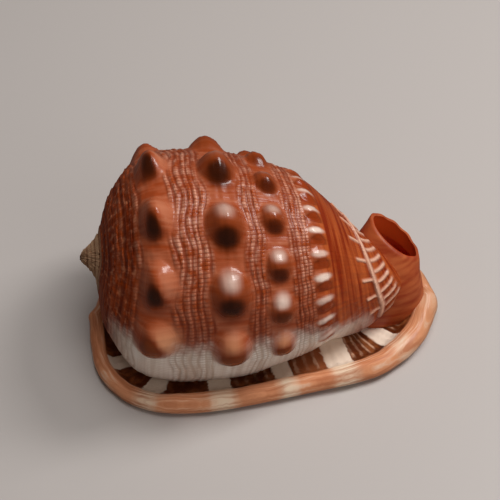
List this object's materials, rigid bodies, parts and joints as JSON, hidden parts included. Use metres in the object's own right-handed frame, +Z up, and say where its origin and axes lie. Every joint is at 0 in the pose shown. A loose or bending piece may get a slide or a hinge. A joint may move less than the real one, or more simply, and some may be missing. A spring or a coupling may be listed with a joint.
{
  "type": "bullmouth helmet shell",
  "caption": "Large thick sea snail shell lying on its mouth: low spire, rows of blunt knobs, a rolled lip with a gutter, an upturned canal and a toothed slit underneath.",
  "frame": {"origin": "centre of the bounding box, at the level of the flat underside that rests on the table", "axes": "+X along the length from the spire to the siphonal canal, +Y towards the inner lip side, -Y towards the outer lip, +Z up from the table"},
  "size_m": [0.1494, 0.1036, 0.0872],
  "materials": {
    "shell": "satin"
  },
  "bodies": {
    "root": {"shell": "shell"}
  },
  "joints": []
}
